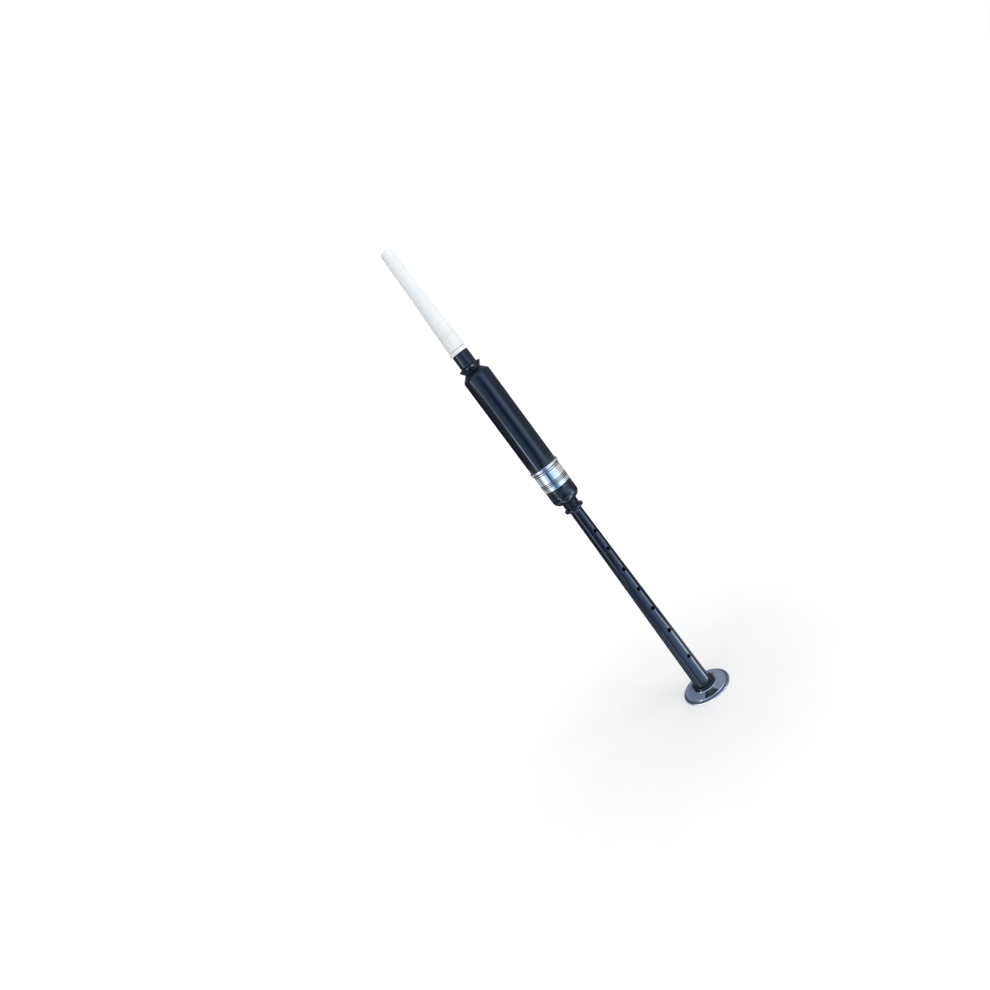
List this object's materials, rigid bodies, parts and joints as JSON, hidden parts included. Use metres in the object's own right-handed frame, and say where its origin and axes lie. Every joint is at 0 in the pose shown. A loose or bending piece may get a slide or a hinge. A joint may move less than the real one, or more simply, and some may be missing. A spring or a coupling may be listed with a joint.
{
  "type": "practice chanter",
  "caption": "Two-section woodwind practice chanter: tapered tube with finger holes on a metal sole, ferrule, reed chamber with a double reed, and a pull-off mouthpiece.",
  "frame": {"origin": "centre of the sole's flat resting face", "axes": "+Z along the bore from the sole to the mouthpiece, the seven finger holes face -Y and the thumb hole faces +Y"},
  "size_m": [0.051, 0.051, 0.533],
  "materials": {
    "black_plastic": "polished black plastic with a navy tint and fine turning lines",
    "nickel": "polished nickel plate with fine turning lines",
    "white_plastic": "translucent milky white moulded plastic",
    "waxed_hemp": "waxed hemp thread, wound level",
    "brass": "drawn tube",
    "yellow_plastic": "moulded amber-yellow plastic",
    "blade_plastic": "thin frosted white plastic",
    "red_thread": "waxed red thread, wound tight",
    "bridle_thread": "raised ring of lighter red thread"
  },
  "bodies": {
    "lower_section": {"lower_section": "black_plastic", "tenon_hemp": "waxed_hemp", "sole": "nickel"},
    "reed": {"reed_staple": "brass", "reed_plug": "yellow_plastic", "reed_blade_front": "blade_plastic", "reed_blade_back": "blade_plastic", "reed_binding": "red_thread", "reed_bridle": "bridle_thread"},
    "top_section": {"top_section": "black_plastic", "ferrule": "nickel", "mouthpiece_hemp": "waxed_hemp"},
    "mouthpiece": {"mouthpiece": "white_plastic", "mouthpiece_ring": "white_plastic"}
  },
  "joints": [
    {"name": "top_section_slide", "type": "slide", "parent": "lower_section", "child": "top_section", "axis": [0, 0, 1], "range_m": [0, 0.1]},
    {"name": "mouthpiece_slide", "type": "slide", "parent": "top_section", "child": "mouthpiece", "axis": [0, 0, 1], "range_m": [0, 0.03]},
    {"name": "reed_slide", "type": "slide", "parent": "lower_section", "child": "reed", "axis": [0, 0, 1], "range_m": [0, 0.015]}
  ]
}
